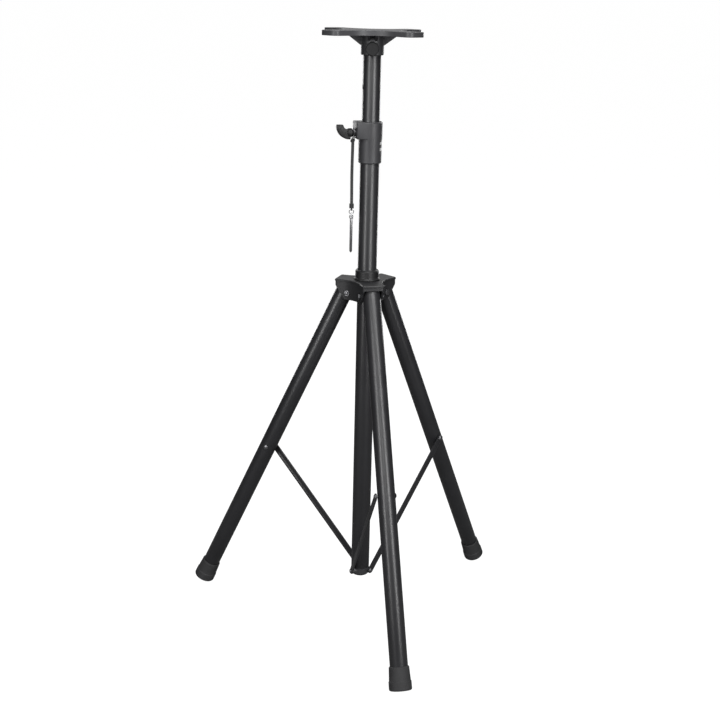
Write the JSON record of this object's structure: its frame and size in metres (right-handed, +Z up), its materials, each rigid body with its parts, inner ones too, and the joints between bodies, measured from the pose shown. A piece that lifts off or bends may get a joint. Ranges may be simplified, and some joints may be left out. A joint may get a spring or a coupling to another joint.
{
  "type": "speaker tripod stand",
  "caption": "Telescopic 35 mm speaker pole on a folding braced tripod, with a turning X-shaped top tray, a hand-knob height clamp and a safety pin on a cord.",
  "frame": {"origin": "on the floor, at the middle of the box round the stand; the mast axis stands 90 mm behind it in Y", "axes": "+Z up along the mast; -Y is the way the front leg points; the clamp's lug and crescent hand knob point to -X"},
  "size_m": [0.672, 0.5879, 1.206],
  "materials": {
    "powder_coat": "satin black powder coat",
    "moulding": "fine moulded texture",
    "rubber": "matt",
    "steel": "bright plated",
    "liner": "smooth",
    "cord": "braided"
  },
  "bodies": {
    "mast": {"lower_mast_tube": "powder_coat", "mast_end_bracket": "moulding", "clamp_collar": "moulding", "clamp_liner": "liner", "clamp_washer": "steel", "lanyard_eyelet": "steel", "brace_lower_rivet_front": "steel", "brace_lower_rivet_right": "steel", "brace_lower_rivet_left": "steel"},
    "upper_mast": {"upper_mast_tube": "powder_coat", "upper_tube_bush": "liner"},
    "tray": {"tray_plate": "powder_coat"},
    "tray_knob": {"tray_lock_knob": "moulding", "tray_lock_screw": "steel"},
    "clamp_knob": {"wing_knob": "moulding", "clamp_screw": "steel"},
    "pendant": {"lanyard_cord": "cord", "lanyard_top_ferrule": "rubber", "lanyard_end_ferrule": "rubber", "pin_ring": "steel", "safety_pin": "steel"},
    "hub": {"hub_body": "powder_coat", "hub_collar": "moulding", "hub_bush": "liner", "leg_pivot_bolt_front": "steel", "leg_pivot_bolt_right": "steel", "leg_pivot_bolt_left": "steel", "leg_pivot_nut_front": "steel", "leg_pivot_nut_right": "steel", "leg_pivot_nut_left": "steel"},
    "hub_knob": {"hub_lock_knob": "moulding", "hub_lock_screw": "steel"},
    "leg_front": {"leg_tube_front": "powder_coat", "leg_top_plug_front": "liner", "leg_foot_front": "rubber", "leg_rivet_head_front": "steel"},
    "brace_front": {"brace_front": "powder_coat", "brace_upper_rivet_front": "steel"},
    "leg_right": {"leg_tube_right": "powder_coat", "leg_top_plug_right": "liner", "leg_foot_right": "rubber", "leg_rivet_head_right": "steel"},
    "brace_right": {"brace_right": "powder_coat", "brace_upper_rivet_right": "steel"},
    "leg_left": {"leg_tube_left": "powder_coat", "leg_top_plug_left": "liner", "leg_foot_left": "rubber", "leg_rivet_head_left": "steel"},
    "brace_left": {"brace_left": "powder_coat", "brace_upper_rivet_left": "steel"}
  },
  "joints": [
    {"name": "hub_slide", "type": "slide", "parent": "mast", "child": "hub", "axis": [0, 0, 1], "range_m": [0, 0.1089]},
    {"name": "upper_mast_slide", "type": "slide", "parent": "mast", "child": "upper_mast", "axis": [0, 0, 1], "range_m": [-0.12, 0.6]},
    {"name": "tray_turn", "type": "hinge", "parent": "upper_mast", "child": "tray", "pos_m": [0, 0.09029, 1.18], "axis": [0, 0, 1], "continuous": true},
    {"name": "tray_knob_turn", "type": "hinge", "parent": "tray", "child": "tray_knob", "pos_m": [-0.00703, 0.0601, 1.172], "axis": [-0.2267, -0.974, 0], "continuous": true},
    {"name": "clamp_knob_turn", "type": "hinge", "parent": "mast", "child": "clamp_knob", "pos_m": [-0.045, 0.09029, 1.013], "axis": [-1, 0, 0], "continuous": true},
    {"name": "hub_knob_turn", "type": "hinge", "parent": "hub", "child": "hub_knob", "pos_m": [0, 0.14029, 0.699], "axis": [0, 1, 0], "continuous": true},
    {"name": "pendant_swing", "type": "hinge", "parent": "mast", "child": "pendant", "pos_m": [-0.0345, 0.09029, 1.0035], "axis": [0, 1, 0], "range_deg": [0, 12]},
    {"name": "leg_fold_front", "type": "hinge", "parent": "hub", "child": "leg_front", "pos_m": [0, 0.05579, 0.695], "axis": [1, 0, 0], "range_deg": [0, 24.9]},
    {"name": "brace_fold_front", "type": "hinge", "parent": "mast", "child": "brace_front", "pos_m": [0, 0.08029, 0.087], "axis": [-1, 0, 0], "range_deg": [0, 32.02]},
    {"name": "leg_fold_right", "type": "hinge", "parent": "hub", "child": "leg_right", "pos_m": [0.02988, 0.10754, 0.695], "axis": [-0.5, 0.866, 0], "range_deg": [0, 24.9]},
    {"name": "brace_fold_right", "type": "hinge", "parent": "mast", "child": "brace_right", "pos_m": [0.00866, 0.09529, 0.087], "axis": [0.5, -0.866, 0], "range_deg": [0, 32.02]},
    {"name": "leg_fold_left", "type": "hinge", "parent": "hub", "child": "leg_left", "pos_m": [-0.02988, 0.10754, 0.695], "axis": [-0.5, -0.866, 0], "range_deg": [0, 24.9]},
    {"name": "brace_fold_left", "type": "hinge", "parent": "mast", "child": "brace_left", "pos_m": [-0.00866, 0.09529, 0.087], "axis": [0.5, 0.866, 0], "range_deg": [0, 32.02]}
  ],
  "couplings": [
    {"joint": "pendant_swing", "follows": "hub_slide", "rad_per_m": 1.8358},
    {"joint": "leg_fold_front", "follows": "hub_slide", "rad_per_m": 3.9891},
    {"joint": "brace_fold_front", "follows": "hub_slide", "rad_per_m": 5.129},
    {"joint": "leg_fold_right", "follows": "hub_slide", "rad_per_m": 3.9891},
    {"joint": "brace_fold_right", "follows": "hub_slide", "rad_per_m": 5.129},
    {"joint": "leg_fold_left", "follows": "hub_slide", "rad_per_m": 3.9891},
    {"joint": "brace_fold_left", "follows": "hub_slide", "rad_per_m": 5.129}
  ]
}
